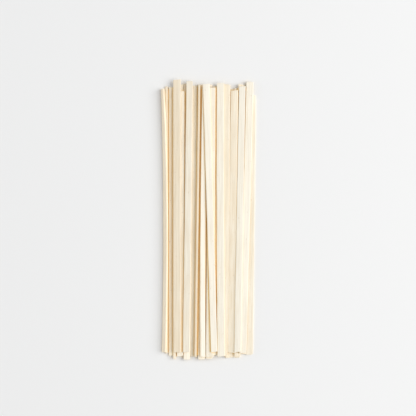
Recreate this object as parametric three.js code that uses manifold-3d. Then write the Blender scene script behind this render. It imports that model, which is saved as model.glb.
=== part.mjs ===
// A bundle of flat dried udon noodles, lying loose on a table as one serving.
// A level bottom course carries a second course and a top course, and one strand slants across the middle.
// Millimetres, +Z up. +Y runs along the strands, and the origin is under the middle of the bundle.
import * as THREE from "three";
import { mergeVertices } from "three/addons/utils/BufferGeometryUtils.js";
import Module from "manifold-3d";

// One strand: a flat ribbon of dough, cut square and dried straight.
const STRAND = { length: 220, width: 5.9, thickness: 1.6, chamfer: 0.35, steps: 8 };

// How far a strand beds into those that it lies on, so that the bundle holds together as one solid.
const BEDDING = 0.15;
const COURSE_RISE = STRAND.thickness - BEDDING;

// The hidden middle of the bundle, which fills the gaps between the lowest strands.
const CORE = { left: -34.2, right: 36, near: -108.6, far: 107.4, bottom: 0.2, top: 0.6 };

// The bottom course: strands side by side from the left one's middle to the right one's middle,
// slanting more and more towards the right.
const BOTTOM_COURSE = { count: 11, left: -29.45, right: 29.5, nearEnd: -111.2, fan: 1 };
const UNEVEN = { place: 0.1, slant: 0.1, end: 2.2, length: 3, width: 0.1, bow: 0.08, cut: 0.35 };

// The other strands in the order they were laid: the middles of each one's far and near end, its width,
// and its sideways bow where that shows. The taper is how much wider a strand's near end is than its far end.
// A propped strand has its tilt in degrees, right side up, and the number of courses under its low edge.
// The edge strands lie on the table, beside the bottom course.
const EDGE_STRANDS = [
  { far: [-34.0, 109.6], near: [-34.1, -109.3], width: 2.0 },
  { far: [36.3, 102.6], near: [33.8, -110.3], width: 5.5 },
];
const SECOND_COURSE = [
  { far: [-27.3, 110.5], near: [-27.5, -113.8], width: 2.3 },
  { far: [-21.9, 105.4], near: [-23.1, -111.5], width: 5.2, bow: 0.5 },
  { far: [-15.3, 107.0], near: [-17.5, -114.2], width: 5.4 },
  { far: [-2.25, 107.8], near: [-5.55, -114.0], width: 5.5 },
  { far: [3.4, 106.4], near: [1.0, -113.6], width: 5.5 },
  { far: [8.7, 108.5], near: [7.0, -110.2], width: 5.4 },
  { far: [15.9, 111.0], near: [13.4, -111.5], width: 5.7, bow: 0.35 },
  { far: [26.9, 111.0], near: [23.7, -111.8], width: 4.6 },
  { far: [34.15, 113.0], near: [28.25, -108.6], width: 5.9 },
];
const TOP_COURSE = [
  { far: [-35.9, 107.3], near: [-35.2, -108.1], width: 5.7, bow: 1.4, tilt: 59, on: 0 },
  { far: [-25.4, 114.7], near: [-25.3, -108.2], width: 6.2, tilt: 6, on: 2 },
  { far: [-15.2, 113.6], near: [-17.4, -108.1], width: 5.7 },
  { far: [-7.0, 110.6], near: [-9.4, -111.9], width: 3.4, tilt: 84, on: 1 },
  { far: [-3.8, 111.1], near: [-4.0, -111.8], width: 3.9, taper: 2, bow: -0.6, tilt: -6, on: 2 },
  { far: [2.95, 108.2], near: [1.4, -112.0], width: 6.4, bow: 0.15 },
  { far: [10.2, 112.0], near: [10.6, -111.5], width: 6.0, bow: -0.4 },
  { far: [22.2, 106.0], near: [19.2, -108.4], width: 6.4, tilt: 15, on: 1 },
  { far: [28.0, 109.3], near: [24.4, -107.7], width: 4.9 },
];
const SLANTING_STRAND = { far: [-1.7, 111.1], near: [4.75, -107.6], width: 6.0 };

// A settling strand is tried at this many places along and across, this many times over.
const SETTLE = { along: 25, across: 13, rounds: 4 };

// Corners nearer than this are one corner.
const WELD = 1e-4;

// Repeatable unevenness from -1 to 1, drawn from a congruential series.
const SERIES = { factor: 1664525, step: 1013904223, range: 2 ** 32 };
let seed = 796659760;
function uneven() {
  seed = (seed * SERIES.factor + SERIES.step) % SERIES.range;
  return (seed / SERIES.range) * 2 - 1;
}

// A strand in plan, from the middles of its two ends, lying level on the table.
function strandBetween(far, near, width, bow, taper = 0) {
  const start = new THREE.Vector2(...far);
  const end = new THREE.Vector2(...near);
  const heading = start.clone().sub(end).normalize();
  return {
    middle: start.clone().add(end).multiplyScalar(0.5),
    heading,
    side: new THREE.Vector2(heading.y, -heading.x),
    length: start.distanceTo(end),
    width,
    taper,
    bow,
    cut: [uneven() * UNEVEN.cut, uneven() * UNEVEN.cut],
    propped: false,
    height: 0,
    pitch: 0,
    roll: 0,
  };
}

// The bottom course, side by side at an even pitch with a little unevenness in place, slant and length.
function bottomCourse({ count, left, right, nearEnd, fan }) {
  return Array.from({ length: count }, (_, i) => {
    const step = i / (count - 1);
    const x = THREE.MathUtils.lerp(left, right, step) + uneven() * UNEVEN.place;
    const slant = fan * step + uneven() * UNEVEN.slant;
    const nearY = nearEnd + uneven() * UNEVEN.end;
    const farY = nearY + STRAND.length + uneven() * UNEVEN.length;
    const width = STRAND.width + uneven() * UNEVEN.width;
    return strandBetween([x + slant, farY], [x - slant, nearY], width, uneven() * UNEVEN.bow);
  });
}

// One strand of the other layers, propped at its tilt where it has one.
function laidStrand({ far, near, width, bow = uneven() * UNEVEN.bow, taper, tilt, on }) {
  const strand = strandBetween(far, near, width, bow, taper);
  if (tilt === undefined) return strand;
  const angle = THREE.MathUtils.degToRad(tilt);
  const sine = Math.abs(Math.sin(angle));
  const faceDrop = (width / 2 - STRAND.chamfer) * sine;
  const flankDrop = (width / 2) * sine - STRAND.chamfer * Math.cos(angle);
  const height = on * COURSE_RISE + Math.max(faceDrop, flankDrop);
  return { ...strand, propped: true, height, roll: Math.tan(angle) };
}

// How far a bowed strand stands aside from its straight line, a distance along from its middle.
function bowAt(strand, along) {
  return strand.bow * (1 - ((2 * along) / strand.length) ** 2);
}

// The width of a strand, a distance along from its middle.
function widthAt(strand, along) {
  return strand.width - (strand.taper * along) / strand.length;
}

// Half the width of a strand's flat faces, between its chamfers.
function halfFace(strand, along) {
  return widthAt(strand, along) / 2 - STRAND.chamfer;
}

// The height of a strand's upper face over a point of the table, or the table's own where it isn't there.
function topAt(strand, x, y) {
  const dx = x - strand.middle.x;
  const dy = y - strand.middle.y;
  const along = dx * strand.heading.x + dy * strand.heading.y;
  const aside = dx * strand.side.x + dy * strand.side.y - bowAt(strand, along);
  const cosine = 1 / Math.hypot(1, strand.roll);
  const across = aside + STRAND.thickness * strand.roll * cosine;
  if (Math.abs(along) > strand.length / 2 || Math.abs(across) > halfFace(strand, along) * cosine) return 0;
  return strand.height + strand.pitch * along + strand.roll * aside + STRAND.thickness / cosine - BEDDING;
}

// The straight line that rests on supports [place, height] and carries its weight at place 0.
function restingLine(supports) {
  let best = { height: -Infinity, slope: 0 };
  for (const [a, heightA] of supports.filter(([place]) => place <= 0)) {
    for (const [b, heightB] of supports.filter(([place]) => place > 0)) {
      const slope = (heightB - heightA) / (b - a);
      const height = heightA - slope * a;
      const steeper = height === best.height && slope > best.slope;
      if (height > best.height || steeper) best = { height, slope };
    }
  }
  return best;
}

// Lets a strand down on the ones already laid: it pitches and rolls until it rests.
function settle(strand, laid) {
  for (let round = 0; round < SETTLE.rounds; round++) {
    const cosine = 1 / Math.hypot(1, strand.roll);
    const supports = [];
    for (let i = 0; i < SETTLE.along; i++) {
      const along = (i / (SETTLE.along - 1) - 0.5) * strand.length;
      for (let j = 0; j < SETTLE.across; j++) {
        const aside = (2 * (j / (SETTLE.across - 1)) - 1) * halfFace(strand, along) * cosine;
        const out = aside + bowAt(strand, along);
        const x = strand.middle.x + strand.heading.x * along + strand.side.x * out;
        const y = strand.middle.y + strand.heading.y * along + strand.side.y * out;
        supports.push({ along, aside, height: Math.max(0, ...laid.map((other) => topAt(other, x, y))) });
      }
    }
    strand.pitch = restingLine(supports.map((s) => [s.along, s.height - strand.roll * s.aside])).slope;
    const rest = restingLine(supports.map((s) => [s.aside, s.height - strand.pitch * s.along]));
    strand.roll = rest.slope;
    strand.height = rest.height;
  }
}

// A strand's cross-section: a flat rectangle with its edges taken off, standing on the line y = 0.
function strandSection(width) {
  const side = width / 2;
  const edge = STRAND.chamfer;
  const top = STRAND.thickness;
  return new THREE.Shape([
    new THREE.Vector2(edge - side, 0),
    new THREE.Vector2(side - edge, 0),
    new THREE.Vector2(side, edge),
    new THREE.Vector2(side, top - edge),
    new THREE.Vector2(side - edge, top),
    new THREE.Vector2(edge - side, top),
    new THREE.Vector2(-side, top - edge),
    new THREE.Vector2(-side, edge),
  ]);
}

// Cuts the two ends of a strand a little askew.
function cutAskew(geometry, strand) {
  const position = geometry.getAttribute("position");
  for (let i = 0; i < position.count; i++) {
    const along = position.getY(i);
    if (Math.abs(along) < strand.length / 2 - STRAND.chamfer) continue;
    const askew = along > 0 ? strand.cut[0] : strand.cut[1];
    position.setY(i, along + (askew * position.getX(i) * 2) / strand.width);
  }
}

// Narrows a tapering strand towards its far end.
function narrow(geometry, strand) {
  const position = geometry.getAttribute("position");
  for (let i = 0; i < position.count; i++) {
    position.setX(i, (position.getX(i) * widthAt(strand, position.getY(i))) / strand.width);
  }
}

// Bends a strand sideways in plan.
function bend(geometry, strand) {
  const position = geometry.getAttribute("position");
  for (let i = 0; i < position.count; i++) {
    position.setX(i, position.getX(i) + bowAt(strand, position.getY(i)));
  }
}

// A settled strand: its section drawn out from the far end, cut, narrowed, rolled, bent and laid in place.
function strandMesh(strand) {
  const geometry = new THREE.ExtrudeGeometry(strandSection(strand.width), {
    depth: strand.length,
    steps: STRAND.steps,
    bevelEnabled: false,
  });
  geometry.translate(0, 0, -strand.length / 2).rotateX(Math.PI / 2);
  cutAskew(geometry, strand);
  narrow(geometry, strand);
  geometry.rotateY(-Math.atan(strand.roll));
  bend(geometry, strand);
  const mesh = new THREE.Mesh(geometry);
  mesh.position.set(strand.middle.x, strand.middle.y, strand.height);
  mesh.rotation.set(Math.atan(strand.pitch), 0, -Math.atan2(strand.heading.x, strand.heading.y), "ZXY");
  return mesh;
}

// The core: a plain slab inside the lowest strands.
function coreMesh() {
  const { left, right, near, far, bottom, top } = CORE;
  const mesh = new THREE.Mesh(new THREE.BoxGeometry(right - left, far - near, top - bottom));
  mesh.position.set((left + right) / 2, (far + near) / 2, (top + bottom) / 2);
  return mesh;
}

const wasm = await Module();
wasm.setup();

// A placed mesh as a closed solid.
function solidOf(mesh) {
  mesh.updateMatrixWorld(true);
  const geometry = mesh.geometry.clone().applyMatrix4(mesh.matrixWorld);
  geometry.deleteAttribute("normal");
  geometry.deleteAttribute("uv");
  const merged = mergeVertices(geometry, WELD);
  return new wasm.Manifold(
    new wasm.Mesh({
      numProp: 3,
      vertProperties: merged.getAttribute("position").array,
      triVerts: new Uint32Array(merged.index.array),
    }),
  );
}

// All the meshes as one solid: sealed hollows are filled and loose scraps dropped.
function fuse(meshes) {
  const joined = meshes.map(solidOf).reduce((whole, next) => whole.add(next));
  const largest = joined.decompose().reduce((a, b) => (b.volume() > a.volume() ? b : a));
  const { vertProperties, triVerts } = largest.getMesh();
  const geometry = new THREE.BufferGeometry();
  geometry.setAttribute("position", new THREE.BufferAttribute(vertProperties, 3));
  geometry.setIndex(new THREE.BufferAttribute(triVerts, 1));
  geometry.computeVertexNormals();
  return geometry;
}

const laid = [...EDGE_STRANDS, ...SECOND_COURSE, ...TOP_COURSE, SLANTING_STRAND].map(laidStrand);
const strands = [...bottomCourse(BOTTOM_COURSE), ...laid];
strands.forEach((strand, i) => {
  if (!strand.propped) settle(strand, strands.slice(0, i));
});

const driedDough = new THREE.MeshStandardMaterial({ color: 0xf3e8cf, roughness: 0.6, metalness: 0 });
const noodles = new THREE.Mesh(fuse([coreMesh(), ...strands.map(strandMesh)]), driedDough);
noodles.name = "noodle_bundle";

// The bundle is centred over the origin by its outline.
noodles.geometry.computeBoundingBox();
const outline = noodles.geometry.boundingBox.getCenter(new THREE.Vector3());
noodles.position.set(-outline.x, -outline.y, 0);

const bundle = new THREE.Group();
bundle.add(noodles);

export default bundle;
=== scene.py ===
import math

import bmesh
import bpy
import numpy as np
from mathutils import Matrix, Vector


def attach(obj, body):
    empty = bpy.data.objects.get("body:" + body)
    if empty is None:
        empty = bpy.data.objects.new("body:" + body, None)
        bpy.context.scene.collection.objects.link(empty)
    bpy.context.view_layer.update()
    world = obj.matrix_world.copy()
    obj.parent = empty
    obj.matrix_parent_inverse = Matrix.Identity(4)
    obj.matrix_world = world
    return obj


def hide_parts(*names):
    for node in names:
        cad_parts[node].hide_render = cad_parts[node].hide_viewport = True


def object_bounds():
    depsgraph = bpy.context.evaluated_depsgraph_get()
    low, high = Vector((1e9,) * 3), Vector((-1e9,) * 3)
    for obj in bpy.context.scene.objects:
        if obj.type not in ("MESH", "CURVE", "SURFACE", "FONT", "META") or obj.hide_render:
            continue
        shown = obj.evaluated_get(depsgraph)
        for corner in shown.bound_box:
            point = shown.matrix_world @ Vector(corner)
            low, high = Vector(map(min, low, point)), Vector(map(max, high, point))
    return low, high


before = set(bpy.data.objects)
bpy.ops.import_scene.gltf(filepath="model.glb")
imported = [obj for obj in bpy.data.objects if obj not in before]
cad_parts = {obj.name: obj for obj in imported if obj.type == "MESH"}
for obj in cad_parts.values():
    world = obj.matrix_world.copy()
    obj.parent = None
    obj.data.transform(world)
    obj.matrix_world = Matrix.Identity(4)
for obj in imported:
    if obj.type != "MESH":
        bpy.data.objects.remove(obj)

cadLow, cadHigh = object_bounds()
mm = 0.001

# how the bundle lies, in mm: y along the strands, x across them, close to the solid with some edges moved
strandSize = {
    "length": 220.0,
    "width": 5.9,
    "thickness": 1.6,
    "edge": 0.35,  # what each long edge loses
    "bedding": 0.15,  # how far a strand sinks into those under it
}
bottomCourse = {
    "count": 11,
    "left": -29.45,
    "right": 29.5,
    "nearEnd": -111.2,
    "fan": 1.0,  # slant of the rightmost strand
}
unevenBy = {"place": 0.1, "slant": 0.1, "end": 2.2, "length": 3.0, "width": 0.1, "bow": 0.08, "cut": 0.35}
# the other strands as they were laid: middles of the far and near end, width, tilt of a propped strand,
# taper as how much wider the near end is, twist as how much steeper the far end leans, tone as how pale and
# how warm it is, in part painted light: paler where a strand lies in shade or faces away from the window;
# a third tone value brings its painted amber shade on sooner
laidStrands = [
    {"far": (-34.0, 109.6), "near": (-34.1, -109.3), "width": 2.0, "tone": (1.0, 0.5)},
    {"far": (36.3, 102.6), "near": (33.8, -110.3), "width": 5.5, "tone": (1.0, 0.36)},
    {"far": (-27.3, 110.5), "near": (-27.5, -113.8), "width": 2.3},
    {"far": (-21.9, 105.4), "near": (-23.1, -111.5), "width": 5.2, "bow": 0.5, "tone": (1.02, 0.2)},
    {"far": (-15.3, 107.0), "near": (-17.5, -114.2), "width": 5.4},
    {"far": (-2.25, 107.8), "near": (-5.55, -114.0), "width": 5.5, "tone": (1.08, 0.45)},
    {"far": (3.4, 106.4), "near": (1.0, -113.6), "width": 5.5},
    {"far": (8.7, 108.5), "near": (7.0, -110.2), "width": 5.4},
    {"far": (15.3, 111.0), "near": (13.15, -111.5), "width": 5.45, "taper": -0.5, "bow": 0.35,
     "tone": (1.025, 0.58)},
    {"far": (26.9, 111.0), "near": (23.7, -111.8), "width": 4.6},
    {"far": (34.15, 113.0), "near": (28.25, -108.6), "width": 5.9, "tone": (1.02, 0.05)},
    # A leans away from the window; its tone is made paler as painted light on its shaded face
    {"far": (-35.66, 107.3), "near": (-35.2, -108.1), "width": 5.7, "bow": 1.3,
     "tilt": 59, "twist": 14, "on": 0, "tone": (1.17, 0.85)},
    {"far": (-25.4, 114.7), "near": (-25.3, -108.2), "width": 6.2, "tilt": 6, "on": 2, "tone": (0.98, 0.8)},
    {"far": (-15.2, 113.6), "near": (-18.0, -108.1), "width": 5.4, "taper": 0.4, "tone": (0.955, 0.33)},
    {"far": (-6.55, 110.6), "near": (-9.75, -111.9), "width": 3.4, "tilt": 84, "on": 1, "tone": (0.95, 0.9)},
    {"far": (-2.95, 111.1), "near": (-4.45, -111.8), "width": 4.05, "taper": 0.4, "bow": -0.7,
     "tilt": -6, "on": 2, "tone": (1.05, 0.05)},
    {"far": (2.9, 108.2), "near": (1.28, -112.0), "width": 6.4, "taper": 0.2, "bow": 0.15,
     "tone": (1.025, 0.27, 0.22)},
    {"far": (10.05, 112.0), "near": (10.45, -111.5), "width": 6.0, "bow": -0.4, "tone": (0.99, 0.1)},
    {"far": (21.85, 106.0), "near": (19.2, -108.4), "width": 6.35, "taper": 0.4, "tilt": 17, "on": 1,
     "tone": (1.14, 0.58)},
    {"far": (27.85, 109.3), "near": (23.9, -107.7), "width": 5.4, "taper": -0.2, "tone": (0.985, 0.05)},
    {"far": (-1.5, 111.1), "near": (4.83, -107.6), "width": 5.4, "taper": -0.4, "tone": (1.02, 0.04)},
]
settleBy = {"along": 25, "across": 13, "rounds": 4}
series = {"seed": 796659760, "factor": 1664525, "step": 1013904223, "range": 2 ** 32}


def uneven():
    series["seed"] = (series["seed"] * series["factor"] + series["step"]) % series["range"]
    return series["seed"] / series["range"] * 2 - 1


def strandBetween(far, near, width, bow):
    run = np.subtract(far, near)
    length = float(np.hypot(*run))
    heading = run / length
    cut = [uneven() * unevenBy["cut"], uneven() * unevenBy["cut"]]
    return {
        "middle": np.add(far, near) / 2,
        "heading": heading,
        "side": np.array([heading[1], -heading[0]]),
        "length": length,
        "width": width,
        "taper": 0.0,
        "bow": bow,
        "cut": cut,
        "propped": False,
        "tone": None,
        "height": 0.0,
        "pitch": 0.0,
        "roll": 0.0,
        "twist": 0.0,
    }


def layBottom(row):
    course = []
    for i in range(row["count"]):
        step = i / (row["count"] - 1)
        x = row["left"] + (row["right"] - row["left"]) * step + uneven() * unevenBy["place"]
        slant = row["fan"] * step + uneven() * unevenBy["slant"]
        nearY = row["nearEnd"] + uneven() * unevenBy["end"]
        farY = nearY + strandSize["length"] + uneven() * unevenBy["length"]
        width = strandSize["width"] + uneven() * unevenBy["width"]
        bow = uneven() * unevenBy["bow"]
        course.append(strandBetween((x + slant, farY), (x - slant, nearY), width, bow))
    return course


def listedStrand(row):
    bow = row["bow"] if "bow" in row else uneven() * unevenBy["bow"]
    strand = strandBetween(row["far"], row["near"], row["width"], bow)
    strand["tone"] = row.get("tone")
    strand["taper"] = row.get("taper", 0.0)
    strand["twist"] = math.radians(row.get("twist", 0.0))
    if "tilt" in row:
        angle = math.radians(row["tilt"])
        edge = strandSize["edge"]
        half = row["width"] / 2
        sine = abs(math.sin(angle))
        rise = strandSize["thickness"] - strandSize["bedding"]
        drop = max((half - edge) * sine, half * sine - edge * math.cos(angle))
        strand.update(propped=True, roll=math.tan(angle), height=row["on"] * rise + drop)
    return strand


def bowAt(strand, along):
    return strand["bow"] * (1 - (2 * along / strand["length"]) ** 2)


def widthAt(strand, along):
    return strand["width"] - strand["taper"] * along / strand["length"]


def halfFace(strand, along):
    return widthAt(strand, along) / 2 - strandSize["edge"]


# height of a strand's upper face over points of the table, or 0 beside it
def topAt(strand, x, y):
    dx = x - strand["middle"][0]
    dy = y - strand["middle"][1]
    along = dx * strand["heading"][0] + dy * strand["heading"][1]
    aside = dx * strand["side"][0] + dy * strand["side"][1] - bowAt(strand, along)
    cosine = 1 / math.hypot(1, strand["roll"])
    across = aside + strandSize["thickness"] * strand["roll"] * cosine
    inside = (abs(along) <= strand["length"] / 2) & (abs(across) <= halfFace(strand, along) * cosine)
    slope = strand["pitch"] * along + strand["roll"] * aside
    top = strand["height"] + slope + strandSize["thickness"] / cosine - strandSize["bedding"]
    return np.where(inside, top, 0.0)


# the straight line that rests on the supports and carries its weight at place 0
def restingLine(place, height):
    a = place <= 0
    b = place > 0
    slope = (height[b][None, :] - height[a][:, None]) / (place[b][None, :] - place[a][:, None])
    rest = height[a][:, None] - slope * place[a][:, None]
    return rest.max(), slope[rest == rest.max()].max()


# lets a strand down on those already laid, pitching and rolling until it rests
def settle(strand, laid):
    steps = np.arange(settleBy["along"]) / (settleBy["along"] - 1) - 0.5
    shares = np.arange(settleBy["across"]) / (settleBy["across"] - 1) * 2 - 1
    along, share = np.meshgrid(steps * strand["length"], shares, indexing="ij")
    along = along.ravel()
    across = share.ravel() * halfFace(strand, along)
    for _ in range(settleBy["rounds"]):
        aside = across / math.hypot(1, strand["roll"])
        out = aside + bowAt(strand, along)
        x = strand["middle"][0] + strand["heading"][0] * along + strand["side"][0] * out
        y = strand["middle"][1] + strand["heading"][1] * along + strand["side"][1] * out
        under = np.zeros(len(along))
        for other in laid:
            under = np.maximum(under, topAt(other, x, y))
        strand["pitch"] = restingLine(along, under - strand["roll"] * aside)[1]
        strand["height"], strand["roll"] = restingLine(aside, under - strand["pitch"] * along)


# from a strand's own across, along and up to the table's x, y and z
def place(strand, across, along, up):
    lean = np.arctan(strand["roll"])
    turn = lean + strand["twist"] * np.clip(2 * along / strand["length"], 0, 1) ** 2
    tip = np.arctan(strand["pitch"])
    half = widthAt(strand, along) / 2  # a twisted strand turns on its lower edge
    out = (across + half) * np.cos(turn) - up * np.sin(turn) - half * np.cos(lean) + bowAt(strand, along)
    lift = (across + half) * np.sin(turn) + up * np.cos(turn) - half * np.sin(lean)
    ahead = along * np.cos(tip) - lift * np.sin(tip)
    z = strand["height"] + along * np.sin(tip) + lift * np.cos(tip)
    x = strand["middle"][0] + strand["side"][0] * out + strand["heading"][0] * ahead
    y = strand["middle"][1] + strand["side"][1] * out + strand["heading"][1] * ahead
    return np.stack([x, y, z], axis=1)


# middle of the bundle's outline, which the frame has at its origin
def outlineMiddle(strands):
    edge = strandSize["edge"]
    top = strandSize["thickness"]
    stations = np.linspace(-0.5, 0.5, 9)
    points = []
    for strand in strands:
        half = strand["width"] / 2
        across = np.array([edge - half, half - edge, half, half, half - edge, edge - half, -half, -half])
        up = np.array([0, 0, edge, top - edge, top, top, top - edge, edge])
        for station in stations:
            along = np.full(len(up), station * strand["length"])
            if abs(station) == 0.5:
                along = along + strand["cut"][0 if station > 0 else 1] * across / half
            points.append(place(strand, across * widthAt(strand, along) / strand["width"], along, up))
    points = np.concatenate(points)
    return (points.min(axis=0) + points.max(axis=0)) / 2


listed = [listedStrand(row) for row in laidStrands]
strands = layBottom(bottomCourse) + listed
for i, strand in enumerate(strands):
    if not strand["propped"]:
        settle(strand, strands[:i])
middle = outlineMiddle(strands)
print("laid", len(strands), "strands, outline middle", middle[:2].round(3))

# one strand, modelled in mm and copied for all
strandForm = {
    "round": 0.4,  # radius of the long edges
    "roundSteps": 3,
    "cutsAcross": 4,
    "cutsAlong": 79,
    "endCuts": 3,  # finer steps in the last stretch
    "endRound": 0.1,
    "endRoundSteps": 2,
    "endInset": 0.24,
    "slack": 1e-4,  # for picking what lies at an end
    "smoothAngle": 48,
}


def selectEdges(piece, wanted):
    bpy.ops.mesh.select_mode(type="EDGE")
    bpy.ops.mesh.select_all(action="DESELECT")
    mesh = bmesh.from_edit_mesh(piece.data)
    for edge in mesh.edges:
        a, b = edge.verts[0].co, edge.verts[1].co
        edge.select_set(wanted(a, b))
    bmesh.update_edit_mesh(piece.data)


def selectFaces(piece, wanted):
    bpy.ops.mesh.select_mode(type="FACE")
    bpy.ops.mesh.select_all(action="DESELECT")
    mesh = bmesh.from_edit_mesh(piece.data)
    for face in mesh.faces:
        face.select_set(wanted(face))
    bmesh.update_edit_mesh(piece.data)


def modelStrand():
    length, width, thickness = strandSize["length"], strandSize["width"], strandSize["thickness"]
    end = length / 2
    bpy.ops.object.select_all(action="DESELECT")
    bpy.ops.mesh.primitive_cube_add(size=1)
    piece = bpy.context.active_object
    piece.name = "dried_noodles"
    bpy.ops.object.mode_set(mode="EDIT")
    bpy.ops.mesh.select_all(action="SELECT")
    bpy.ops.transform.resize(value=(width, length, thickness))
    bpy.ops.transform.translate(value=(0, 0, thickness / 2))
    # soft long edges
    selectEdges(piece, lambda a, b: abs(a.y - b.y) > end)
    bpy.ops.mesh.bevel(offset=strandForm["round"], segments=strandForm["roundSteps"], affect="EDGES")
    # divisions across the faces, along the strand, then finer near the two cuts
    selectEdges(piece, lambda a, b: abs(a.x - b.x) > width / 2)
    bpy.ops.mesh.subdivide(number_cuts=strandForm["cutsAcross"])
    selectEdges(piece, lambda a, b: abs(a.y - b.y) > end)
    bpy.ops.mesh.subdivide(number_cuts=strandForm["cutsAlong"])
    lastStep = length / (strandForm["cutsAlong"] + 1)
    selectEdges(piece, lambda a, b: abs(a.y - b.y) > lastStep / 2 and abs(a.y + b.y) / 2 > end - lastStep)
    bpy.ops.mesh.subdivide(number_cuts=strandForm["endCuts"])
    # cut ends with a slightly worn rim
    selectEdges(piece, lambda a, b: abs(a.y + b.y) / 2 > end - strandForm["slack"])
    bpy.ops.mesh.bevel(offset=strandForm["endRound"], segments=strandForm["endRoundSteps"], affect="EDGES")
    selectFaces(piece, lambda face: abs(face.normal.y) > 0.99 and len(face.verts) > 4)
    bpy.ops.mesh.inset(thickness=strandForm["endInset"])
    bpy.ops.mesh.poke()
    bpy.ops.object.mode_set(mode="OBJECT")
    return piece


# how a strand departs from a true ribbon, in mm
strandWear = {
    "seed": 7,
    "waveStretch": (0.75, 1.3),
    "waveHeight": (0.3, 1),
    "wander": 0.1,  # sideways
    "wanderSpans": (45, 110, 190),
    "swell": 0.02,  # share of the width
    "swellSpans": (14, 31, 70),
    "warp": 0.07,  # up and down
    "warpSpans": (40, 90, 180),
    "twist": 0.9,  # degrees
    "twistSpans": (120, 210),
    "bottomShare": 0.4,  # of warp and twist in the bottom course
    "dish": 0.05,  # faces hollow or crowned
    "dishRange": (-1, 0.6),
    "skewReach": 5.0,
    "cutRough": 0.12,
    "chipShare": 0.65,  # of the ends have a corner off
    "chipDepth": (0.3, 1.1),
    "chipReach": 1.3,
    "chipLow": 0.6,  # how much less height counts in that reach
    "nicks": 3,
    "nickSpread": 0.48,  # share of the length to each side
    "nickDepth": (0.05, 0.2),
    "nickReach": (1.6, 3.2),
    "endLift": 0.25,
    "grainStep": 23.0,  # sets the streaks of one strand off from the next
}
rng = np.random.default_rng(strandWear["seed"])


# a few slow waves along a strand, at most 1 high
def slowWave(along, spans):
    total = np.zeros(len(along))
    for span in spans:
        turns = along / (span * rng.uniform(*strandWear["waveStretch"])) + rng.uniform(0, 1)
        total += rng.uniform(*strandWear["waveHeight"]) * np.sin(2 * np.pi * turns)
    return total / len(spans)


def shapeStrand(points, strand, isTop):
    share = points[:, 0] / (strandSize["width"] / 2)
    reach = points[:, 1] / (strandSize["length"] / 2)
    depth = points[:, 2] / strandSize["thickness"]
    along = reach * strand["length"] / 2
    across = share * widthAt(strand, along) / 2
    up = points[:, 2].copy()
    across *= 1 + strandWear["swell"] * slowWave(along, strandWear["swellSpans"])
    across += strandWear["wander"] * slowWave(along, strandWear["wanderSpans"])
    up += strandWear["dish"] * rng.uniform(*strandWear["dishRange"]) * (1 - share ** 2) * depth
    freedom = 1 if isTop else strandWear["bottomShare"]
    up += strandWear["warp"] * slowWave(along, strandWear["warpSpans"]) * freedom
    turn = math.radians(strandWear["twist"])
    up += turn * slowWave(along, strandWear["twistSpans"]) * across * freedom
    if isTop:
        up += strandWear["endLift"] * rng.uniform(0, 1) * np.clip(reach, 0, 1) ** 4
        up += strandWear["endLift"] * rng.uniform(0, 1) * np.clip(-reach, 0, 1) ** 4
    # nicks along the two long edges
    for _ in range(rng.integers(strandWear["nicks"] + 1)):
        side = rng.choice([-1, 1])
        spot = rng.uniform(-strandWear["nickSpread"], strandWear["nickSpread"]) * strand["length"]
        near = np.exp(-((along - spot) / rng.uniform(*strandWear["nickReach"])) ** 2)
        across -= side * rng.uniform(*strandWear["nickDepth"]) * near * np.clip(side * share, 0, 1) ** 3
    # the two cuts: askew, a little rough, some with a corner off
    end = strand["length"] / 2
    for way, cut in ((1, strand["cut"][0]), (-1, strand["cut"][1])):
        close = np.clip((way * along - end) / strandWear["skewReach"] + 1, 0, 1)
        rough = rng.uniform(0, strandWear["cutRough"], len(along)) * (close > 0.99)
        along = along + cut * share * close - way * rough
        if rng.uniform() < strandWear["chipShare"]:
            corner = rng.choice([-1, 1]) * strand["width"] / 2
            level = rng.uniform(0, strandSize["thickness"])
            gap = np.hypot(across - corner, (up - level) * strandWear["chipLow"])
            off = np.clip(1 - gap / strandWear["chipReach"], 0, 1)
            along -= way * rng.uniform(*strandWear["chipDepth"]) * off * close ** 2
    return place(strand, across, along, up)


def pointAttribute(mesh, name, values):
    attribute = mesh.attributes.new(name, "FLOAT_VECTOR", "POINT")
    attribute.data.foreach_set("vector", np.asarray(values, np.float32).ravel())


def layStrand(master, points, strand, number, isTop):
    bpy.ops.object.select_all(action="DESELECT")
    master.select_set(True)
    bpy.context.view_layer.objects.active = master
    bpy.ops.object.duplicate()
    piece = bpy.context.active_object
    laid = (shapeStrand(points, strand, isTop) - [middle[0], middle[1], 0]) * mm
    laid = np.clip(laid, cadLow, cadHigh)  # waves and wear end at the solid's box
    piece.data.vertices.foreach_set("co", laid.astype(np.float32).ravel())
    grain = points + [0, 0, number * strandWear["grainStep"]]
    pointAttribute(piece.data, "strandGrain", grain)
    pointAttribute(piece.data, "strandToneAndLight", np.tile(strand["tone"], (len(points), 1)))
    piece.data.update()
    return piece


# tone of the strands that mostly lie hidden: how pale, how warm; made paler as painted light in their shade
hiddenToneAndLight = {"pale": 1.07, "paleSpread": 0.03, "warm": 0.4, "warmSpread": 0.2}
for strand in strands:
    pale = hiddenToneAndLight["pale"] + hiddenToneAndLight["paleSpread"] * rng.uniform(-1, 1)
    warm = hiddenToneAndLight["warm"] + hiddenToneAndLight["warmSpread"] * rng.uniform(-1, 1)
    strand["tone"] = (*(strand["tone"] or (pale, warm)), 0)[:3]

master = modelStrand()
points = np.empty(len(master.data.vertices) * 3, np.float32)
master.data.vertices.foreach_get("co", points)
points = points.reshape(-1, 3).astype(float)
firstTop = bottomCourse["count"]
copies = [layStrand(master, points, strand, i, i >= firstTop) for i, strand in enumerate(strands)]
bpy.ops.object.select_all(action="DESELECT")
for piece in copies:
    piece.select_set(True)
bpy.context.view_layer.objects.active = copies[0]
bpy.ops.object.join()
noodles = bpy.context.active_object
bpy.data.objects.remove(master)
noodles.name = "dried_noodles"
bpy.ops.object.shade_smooth_by_angle(angle=math.radians(strandForm["smoothAngle"]))
noodles.data.calc_loop_triangles()
print("strands joined,", len(noodles.data.loop_triangles), "triangles")

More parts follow.
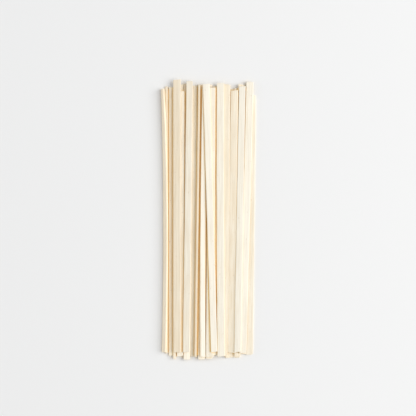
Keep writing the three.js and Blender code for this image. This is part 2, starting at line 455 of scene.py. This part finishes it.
# the core that fills the gaps between the lowest strands, in mm
coreForm = {
    "left": -34.2,
    "right": 36.0,
    "near": -108.6,
    "far": 107.4,
    "bottom": 0.2,
    "top": 0.6,
    "round": 0.12,
    "roundSteps": 2,
    "cuts": 12,
    "tone": (0.94, 0.55, 0),
}


def modelCore():
    width = coreForm["right"] - coreForm["left"]
    length = coreForm["far"] - coreForm["near"]
    height = coreForm["top"] - coreForm["bottom"]
    x = (coreForm["right"] + coreForm["left"]) / 2 - middle[0]
    y = (coreForm["far"] + coreForm["near"]) / 2 - middle[1]
    z = (coreForm["top"] + coreForm["bottom"]) / 2
    bpy.ops.object.select_all(action="DESELECT")
    bpy.ops.mesh.primitive_cube_add(size=1)
    piece = bpy.context.active_object
    piece.name = "bundle_core"
    bpy.ops.object.mode_set(mode="EDIT")
    bpy.ops.mesh.select_all(action="SELECT")
    bpy.ops.transform.resize(value=(width, length, height))
    bpy.ops.mesh.bevel(offset=coreForm["round"], segments=coreForm["roundSteps"], affect="EDGES")
    bpy.ops.mesh.select_all(action="SELECT")
    bpy.ops.mesh.subdivide(number_cuts=coreForm["cuts"])
    bpy.ops.transform.translate(value=(x, y, z))
    bpy.ops.transform.resize(value=(mm, mm, mm), center_override=(0, 0, 0))
    bpy.ops.object.mode_set(mode="OBJECT")
    return piece


core = modelCore()
print("core made")

# dried wheat dough: warm ivory, streaked along the strand, a little floury, amber shade painted between
# strands
doughFinish = {
    "pale": (0.90, 0.85, 0.735, 1),
    "warm": (0.84, 0.72, 0.535, 1),
    "speck": (0.60, 0.43, 0.24, 1),
    "paintedShade": (1.0, 0.70, 0.22, 1),  # painted shade: amber between strands, as if light came through the dough
    "paintedShadeReach": 0.003,
    "paintedShadeFrom": (0.24, 0.60),
    "paintedShadeLean": 0.5,  # how far the painted shade is looked for towards the window, +x
    "paintedShadeSamples": 8,
    "streak": ((1.5, 0.035, 1), 4, 0.55),  # scale per mm, detail, roughness
    "blotch": ((0.16, 0.05, 1), 3, 0.5),
    "grit": ((5.0, 2.6, 1), 3, 0.6),
    "specks": ((0.8, 0.5, 1), 1, 0.4),
    "noiseRange": (0.3, 0.7),
    "streakWarmth": (-0.15, 0.15),
    "blotchWarmth": (-0.13, 0.13),
    "streakRange": (0.34, 0.66),
    "streakPale": (1.04, 0.96),
    "speckRange": (0.72, 0.8),
    "speckShare": (0, 0.35),
    "roughness": (0.5, 0.72),
    "bump": 0.35,
    "bumpDepth": 0.00006,
    "gritBump": 0.6,  # beside the streaks
}


def node(tree, kind, **settings):
    made = tree.nodes.new(kind)
    for name, value in settings.items():
        setattr(made, name, value)
    return made


def grainNoise(tree, grain, scale, detail, roughness):
    mapping = node(tree, "ShaderNodeMapping")
    mapping.inputs["Scale"].default_value = scale
    noise = node(tree, "ShaderNodeTexNoise")
    noise.inputs["Scale"].default_value = 1
    noise.inputs["Detail"].default_value = detail
    noise.inputs["Roughness"].default_value = roughness
    tree.links.new(grain, mapping.inputs["Vector"])
    tree.links.new(mapping.outputs["Vector"], noise.inputs["Vector"])
    return noise.outputs["Fac"]


def ramp(tree, value, low, high, fromValue=0.0, toValue=1.0):
    made = node(tree, "ShaderNodeMapRange", interpolation_type="SMOOTHSTEP")
    made.inputs["From Min"].default_value = low
    made.inputs["From Max"].default_value = high
    made.inputs["To Min"].default_value = fromValue
    made.inputs["To Max"].default_value = toValue
    tree.links.new(value, made.inputs["Value"])
    return made.outputs["Result"]


def maths(tree, operation, a, b):
    made = node(tree, "ShaderNodeMath", operation=operation)
    for socket, value in zip(made.inputs, (a, b)):
        if isinstance(value, (int, float)):
            socket.default_value = value
        else:
            tree.links.new(value, socket)
    return made.outputs["Value"]


def mixColour(tree, share, a, b, blend="MIX"):
    made = node(tree, "ShaderNodeMix", data_type="RGBA", blend_type=blend)
    for name, value in (("Factor", share), ("A", a), ("B", b)):
        kind = "VALUE" if name == "Factor" else "RGBA"
        socket = next(s for s in made.inputs if s.name == name and s.type == kind)
        if isinstance(value, (int, float, tuple)):
            socket.default_value = value
        else:
            tree.links.new(value, socket)
    return next(s for s in made.outputs if s.type == "RGBA")


# painted shade: share of amber by how sunk a point lies between its neighbours, mostly those on the
# window side; clear, a strand's third tone value, brings it on sooner
def paintedShadeMask(tree, clear):
    leaning = node(tree, "ShaderNodeVectorMath", operation="ADD")
    leaning.inputs[1].default_value = (doughFinish["paintedShadeLean"], 0, 0)
    facing = node(tree, "ShaderNodeVectorMath", operation="NORMALIZE")
    closeness = node(tree, "ShaderNodeAmbientOcclusion", samples=doughFinish["paintedShadeSamples"])
    closeness.inputs["Distance"].default_value = doughFinish["paintedShadeReach"]
    tree.links.new(node(tree, "ShaderNodeNewGeometry").outputs["Normal"], leaning.inputs[0])
    tree.links.new(leaning.outputs["Vector"], facing.inputs[0])
    tree.links.new(facing.outputs["Vector"], closeness.inputs["Normal"])
    openness = maths(tree, "SUBTRACT", closeness.outputs["AO"], clear)
    return ramp(tree, openness, *doughFinish["paintedShadeFrom"], 1, 0)


def driedDough():
    material = bpy.data.materials.new("dried_dough")
    material.use_nodes = True
    tree = material.node_tree
    shader = tree.nodes["Principled BSDF"]
    grain = node(tree, "ShaderNodeAttribute", attribute_name="strandGrain").outputs["Vector"]
    tone = node(tree, "ShaderNodeAttribute", attribute_name="strandToneAndLight").outputs["Vector"]
    parts = node(tree, "ShaderNodeSeparateXYZ")
    tree.links.new(tone, parts.inputs["Vector"])
    streak = grainNoise(tree, grain, *doughFinish["streak"])
    blotch = grainNoise(tree, grain, *doughFinish["blotch"])
    grit = grainNoise(tree, grain, *doughFinish["grit"])
    speck = grainNoise(tree, grain, *doughFinish["specks"])
    # colour: pale to warm by the strand, its streaks and its blotches, with a few bran specks
    streakWarmth = ramp(tree, streak, *doughFinish["noiseRange"], *doughFinish["streakWarmth"])
    blotchWarmth = ramp(tree, blotch, *doughFinish["noiseRange"], *doughFinish["blotchWarmth"])
    warmth = maths(tree, "ADD", parts.outputs["Y"], streakWarmth)
    warmth = maths(tree, "ADD", warmth, blotchWarmth)
    limit = node(tree, "ShaderNodeClamp")
    tree.links.new(warmth, limit.inputs["Value"])
    colour = mixColour(tree, limit.outputs["Result"], doughFinish["pale"], doughFinish["warm"])
    speckShare = ramp(tree, speck, *doughFinish["speckRange"], *doughFinish["speckShare"])
    colour = mixColour(tree, speckShare, colour, doughFinish["speck"])
    streakPale = ramp(tree, streak, *doughFinish["streakRange"], *doughFinish["streakPale"])
    paleness = maths(tree, "MULTIPLY", parts.outputs["X"], streakPale)
    level = node(tree, "ShaderNodeCombineXYZ")
    for name in "XYZ":
        tree.links.new(paleness, level.inputs[name])
    colour = mixColour(tree, 1.0, colour, level.outputs["Vector"], "MULTIPLY")
    # painted shade: amber mixed in where a point lies sunk between neighbours, mostly away from the window
    colour = mixColour(tree, paintedShadeMask(tree, parts.outputs["Z"]), colour, doughFinish["paintedShade"])
    tree.links.new(colour, shader.inputs["Base Color"])
    roughness = ramp(tree, grit, *doughFinish["noiseRange"], *doughFinish["roughness"])
    tree.links.new(roughness, shader.inputs["Roughness"])
    bump = node(tree, "ShaderNodeBump")
    bump.inputs["Strength"].default_value = doughFinish["bump"]
    bump.inputs["Distance"].default_value = doughFinish["bumpDepth"]
    gritHeight = maths(tree, "MULTIPLY", grit, doughFinish["gritBump"])
    tree.links.new(maths(tree, "ADD", streak, gritHeight), bump.inputs["Height"])
    tree.links.new(bump.outputs["Normal"], shader.inputs["Normal"])
    return material


dough = driedDough()
for piece in (noodles, core):
    piece.data.materials.clear()
    piece.data.materials.append(dough)
    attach(piece, "root")
    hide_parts("noodle_bundle")
corePoints = len(core.data.vertices)
pointAttribute(core.data, "strandGrain", np.array([v.co for v in core.data.vertices]) / mm)
pointAttribute(core.data, "strandToneAndLight", np.tile(coreForm["tone"], (corePoints, 1)))
print("dough on", noodles.name, "and", core.name)

# plain pale floor
paleFloor = {"size": 6.0, "colour": (0.836, 0.843, 0.848, 1), "roughness": 0.7}
bpy.ops.object.select_all(action="DESELECT")
bpy.ops.mesh.primitive_plane_add(size=paleFloor["size"])
floor = bpy.context.active_object
floor.name = "pale_floor"
paint = bpy.data.materials.new("pale_floor_paint")
paint.use_nodes = True
paintShader = paint.node_tree.nodes["Principled BSDF"]
paintShader.inputs["Base Color"].default_value = paleFloor["colour"]
paintShader.inputs["Roughness"].default_value = paleFloor["roughness"]
floor.data.materials.append(paint)

# soft window light from the right, a white card low on the left, a white room all round
keyLight = {"place": (2.15, 0.2, 2.0), "size": 2.5, "power": 76.0, "colour": (1.0, 0.99, 0.975)}
whiteCard = {"place": (-2.7, 0.2, 0.8), "size": 1.6, "power": 16.0, "colour": (1.0, 1.0, 1.0)}
room = {"colour": (1.0, 1.0, 1.0, 1), "strength": 0.51}


def softLight(name, row):
    bpy.ops.object.light_add(type="AREA", location=row["place"])
    lamp = bpy.context.active_object
    lamp.name = name
    lamp.data.shape = "SQUARE"
    lamp.data.size = row["size"]
    lamp.data.energy = row["power"]
    lamp.data.color = row["colour"]
    lamp.rotation_euler = (-lamp.location).to_track_quat("-Z", "Y").to_euler()


softLight("window_light", keyLight)
softLight("white_card", whiteCard)
world = bpy.data.worlds.new("white_room")
bpy.context.scene.world = world
world.use_nodes = True
world.node_tree.nodes["Background"].inputs["Color"].default_value = room["colour"]
world.node_tree.nodes["Background"].inputs["Strength"].default_value = room["strength"]
bpy.context.scene.view_settings.view_transform = "Standard"

# camera straight above, the picture's top towards the far ends, sizes in mm
overhead = {"above": 1200.0, "across": 341.1, "aim": (-0.16, 9.84), "sensor": 36.0}
aimX = (overhead["aim"][0] - middle[0]) * mm
aimY = (overhead["aim"][1] - middle[1]) * mm
bpy.ops.object.camera_add(location=(aimX, aimY, overhead["above"] * mm), rotation=(0, 0, 0))
camera = bpy.context.active_object
camera.data.sensor_width = overhead["sensor"]
camera.data.lens = overhead["sensor"] * overhead["above"] / overhead["across"]
bpy.context.scene.camera = camera
print("floor, light and camera set")
